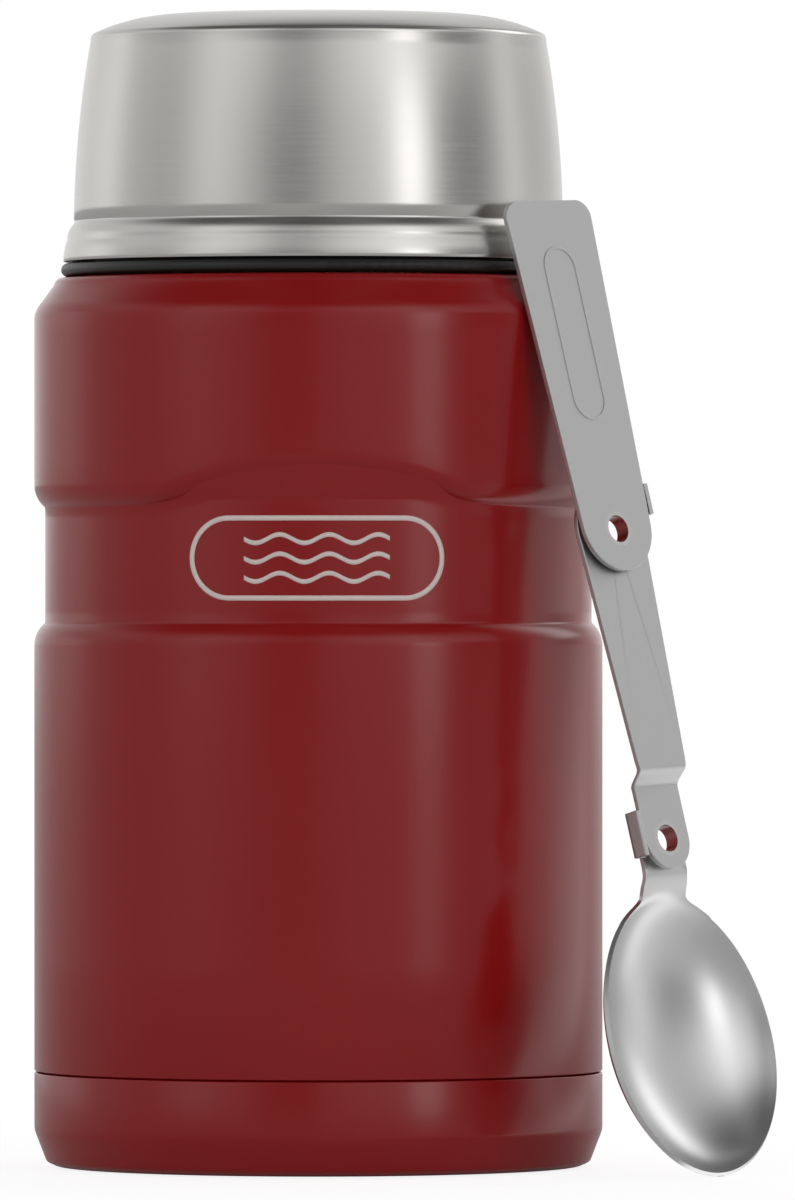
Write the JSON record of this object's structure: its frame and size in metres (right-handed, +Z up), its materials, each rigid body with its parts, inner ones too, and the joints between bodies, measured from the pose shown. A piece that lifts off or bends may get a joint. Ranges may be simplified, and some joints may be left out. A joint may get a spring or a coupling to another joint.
{
  "type": "insulated food jar",
  "caption": "Double-walled steel food jar with a screw stopper holding a tray, a screw lid that serves as a bowl, and a folding spoon standing against its shoulder.",
  "frame": {"origin": "centre of the ring that the jar stands on, on the jar's axis", "axes": "+Z up along the jar's axis, -Y towards the side that faces the viewer, +X to the right, where the spoon stands"},
  "size_m": [0.1333, 0.1107, 0.207],
  "materials": {
    "red_paint": "semi-matte powder coat",
    "satin_steel": "turned satin",
    "bright_steel": "bright",
    "spoon_steel": "polished",
    "brazed_brass": "as brazed",
    "foil": "bright foil",
    "black_plastic": "fine moulded texture",
    "foam": "closed-cell foam",
    "silicone": "matt silicone"
  },
  "bodies": {
    "jar": {"outer_shell": "red_paint", "base_cup": "red_paint", "shell_bottom": "satin_steel", "vacuum_seal_plug": "brazed_brass", "getter_capsule": "bright_steel", "inner_liner": "satin_steel", "radiation_foil": "foil"},
    "stopper_ring": {"stopper_gasket": "silicone"},
    "stopper": {"stopper_tray": "black_plastic", "stopper_cap": "black_plastic", "stopper_plug": "black_plastic", "stopper_foam": "foam"},
    "lid_ring": {"lid_gasket": "silicone"},
    "lid": {"lid_shell": "satin_steel", "lid_liner": "bright_steel", "lid_thread_ring": "black_plastic"},
    "spoon": {"spoon_link": "spoon_steel", "grip_rivet": "bright_steel", "head_rivet": "bright_steel"},
    "grip": {"spoon_grip": "spoon_steel"},
    "head": {"spoon_head": "spoon_steel"}
  },
  "joints": [
    {"name": "stopper_rise", "type": "slide", "parent": "jar", "child": "stopper_ring", "axis": [0, 0, 1], "range_m": [0, 0.0281]},
    {"name": "stopper_turn", "type": "hinge", "parent": "stopper_ring", "child": "stopper", "pos_m": [0, 0, 0.16], "axis": [0, 0, 1], "range_deg": [0, 630]},
    {"name": "lid_rise", "type": "slide", "parent": "stopper", "child": "lid_ring", "axis": [0, 0, 1], "range_m": [0, 0.0161]},
    {"name": "lid_turn", "type": "hinge", "parent": "lid_ring", "child": "lid", "pos_m": [0, 0, 0.17], "axis": [0, 0, 1], "range_deg": [0, 360]},
    {"name": "spoon_lift", "type": "slide", "parent": "jar", "child": "spoon", "axis": [0.683, -0.683, 0.2588], "range_m": [0, 0.05]},
    {"name": "grip_fold", "type": "hinge", "parent": "spoon", "child": "grip", "pos_m": [0.0526, -0.03534, 0.11394], "axis": [0.683, -0.683, 0.2588], "range_deg": [0, 180]},
    {"name": "head_fold", "type": "hinge", "parent": "spoon", "child": "head", "pos_m": [0.0643, -0.0439, 0.06047], "axis": [0.683, -0.683, 0.2588], "range_deg": [0, 180]}
  ],
  "couplings": [
    {"joint": "stopper_rise", "follows": "stopper_turn", "m_per_rad": 0.0025465},
    {"joint": "lid_rise", "follows": "lid_turn", "m_per_rad": 0.0025465}
  ]
}
